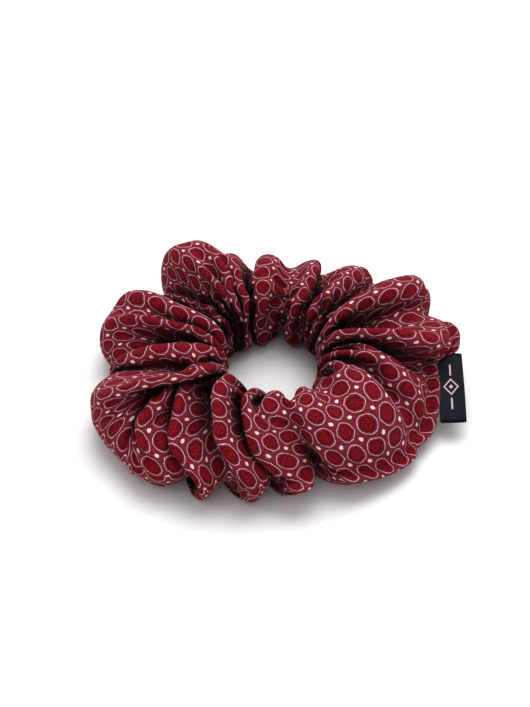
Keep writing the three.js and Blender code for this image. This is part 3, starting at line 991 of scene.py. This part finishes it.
RIBBON_THICK = 0.2
RIBBON_TAIL = 1.3  # within the seam
RIBBON_SHORT = 1.8  # how much less it stands out than the space it has in the frame
PLY_HALF_GAP = 0.32
RIBBON_FOLD = 0.6  # how far the rounded fold reaches past the flat plies
CURL = 0.9  # how far the fold bows off the flap's plane, at most
CURL_TURN = 3.0  # of a wave, in radians, over the ribbon's width
CURL_START = 0.6
PLY_POINTS = 15
RIBBON_COLUMNS = 21


def ribbon_section(reach):
    """The folded ribbon from its side: the top ply out from the seam, the fold, and the bottom ply back."""
    flat = reach - RIBBON_FOLD
    turn = np.linspace(math.pi / 2, -math.pi / 2, 7)[1:-1]
    top = [(s, PLY_HALF_GAP) for s in np.linspace(-RIBBON_TAIL, flat, PLY_POINTS)]
    fold = [(flat + RIBBON_FOLD * math.cos(t), PLY_HALF_GAP * math.sin(t)) for t in turn]
    bottom = [(s, -PLY_HALF_GAP) for s in np.linspace(flat, -RIBBON_TAIL, PLY_POINTS)]
    return np.array(top + fold + bottom)


def centre_uvs(piece, width, length):
    """Moves the cloth coordinates so that their zero is the sheet's middle."""
    layer = piece.data.uv_layers["cloth"].data
    uv = np.empty(len(layer) * 2)
    layer.foreach_get("uv", uv)
    uv = uv.reshape(-1, 2) - np.array([width / 2, length / 2]) / UV_MM
    layer.foreach_set("uv", uv.ravel())


def make_label():
    """A ribbon folded in half: its two ends are in the seam, and its fold is the outer edge."""
    low, high = box_mm("label_flap")
    width = float(np.linalg.norm(high[1:] - low[1:]))
    reach = LABEL_OUT - RIBBON_SHORT
    section = ribbon_section(reach)
    out = np.array([1.0, 0, 0])
    face = np.cross(out, LABEL_ALONG)
    across = np.linspace(-width / 2, width / 2, RIBBON_COLUMNS)
    curl = CURL * np.clip(section[:, 0] / reach, 0, 1) ** 2
    points = np.empty((len(across), len(section), 3))
    for i, s in enumerate(across):
        bow = curl * math.cos(CURL_TURN * s / width + CURL_START)
        points[i] = HINGE + s * LABEL_ALONG + section[:, :1] * out + (section[:, 1] + bow)[:, None] * face
    length = distance_along(section)[-1]
    piece = grid_mesh("label_ribbon", points, (False, False), (width, length), label_satin(width))
    centre_uvs(piece, width, length)
    solid(piece, RIBBON_THICK)
    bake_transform(piece)
    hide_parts("label_flap", "label_tail")


# ---- the stage ----
PICTURE_SHAPE = 707 / 530  # its height over its width
CAMERA_ELEVATION = 45.0
CAMERA_DISTANCE = 0.45
WIDTH_SEEN = 0.1738  # metres across the picture at the origin
SENSOR = 36.0
SHIFT_X, SHIFT_Y = -0.030, 0.0726  # of the picture's width
FLOOR_SIZE = 3.0
FLOOR_DARK = (0.8, 0.8, 0.805)
FLOOR_PALE = (0.83, 0.83, 0.83)
WINDOW_AT = (0.1, 0.35, 0.9)
WINDOW_SIZE = 0.8
WINDOW_POWER = 6
SKY_STRENGTH = 1.0
GAMMA = 0.75


def make_camera():
    """Looks down at the ring from the front. The picture is taller than it is wide."""
    data = bpy.data.cameras.new("camera")
    camera = bpy.data.objects.new("camera", data)
    bpy.context.scene.collection.objects.link(camera)
    tilt = math.radians(CAMERA_ELEVATION)
    back = Vector((0, -math.cos(tilt), math.sin(tilt)))
    camera.location = back * CAMERA_DISTANCE
    camera.rotation_euler = (-back).to_track_quat("-Z", "Y").to_euler()
    data.sensor_width = SENSOR
    data.lens = SENSOR * CAMERA_DISTANCE / (WIDTH_SEEN * PICTURE_SHAPE)
    data.shift_x = SHIFT_X / PICTURE_SHAPE
    data.shift_y = SHIFT_Y / PICTURE_SHAPE
    bpy.context.scene.camera = camera


def make_floor():
    """A pale, faintly uneven floor."""
    n = Nodes("floor")
    place = n.tree.nodes.new("ShaderNodeTexCoord").outputs["Object"]
    n.put(n.shader.inputs["Base Color"], n.mix(n.noise(place, 3.0, 2), FLOOR_DARK, FLOOR_PALE))
    n.shader.inputs["Roughness"].default_value = 0.55
    mesh = bpy.data.meshes.new("floor")
    corners = [(x * FLOOR_SIZE, y * FLOOR_SIZE, 0) for x, y in ((-1, -1), (1, -1), (1, 1), (-1, 1))]
    mesh.from_pydata(corners, [], [(0, 1, 2, 3)])
    mesh.materials.append(n.material)
    floor = bpy.data.objects.new("floor", mesh)
    bpy.context.scene.collection.objects.link(floor)


def make_lights():
    """A white sky, and a soft window above and behind."""
    data = bpy.data.lights.new("window", "AREA")
    data.shape = "DISK"
    data.size = WINDOW_SIZE
    data.energy = WINDOW_POWER
    light = bpy.data.objects.new("window", data)
    light.location = WINDOW_AT
    light.rotation_euler = (-Vector(WINDOW_AT)).to_track_quat("-Z", "Y").to_euler()
    bpy.context.scene.collection.objects.link(light)
    world = bpy.data.worlds.new("world")
    world.use_nodes = True
    world.node_tree.nodes["Background"].inputs["Color"].default_value = (1, 1, 1, 1)
    world.node_tree.nodes["Background"].inputs["Strength"].default_value = SKY_STRENGTH
    bpy.context.scene.world = world
    bpy.context.scene.view_settings.view_transform = "Standard"
    bpy.context.scene.view_settings.gamma = GAMMA


make_camera()
make_floor()
make_lights()
cloth, lip_columns = solve_cloth()
make_cover(cloth)
make_seams(cloth, lip_columns)
make_elastic()
make_label()
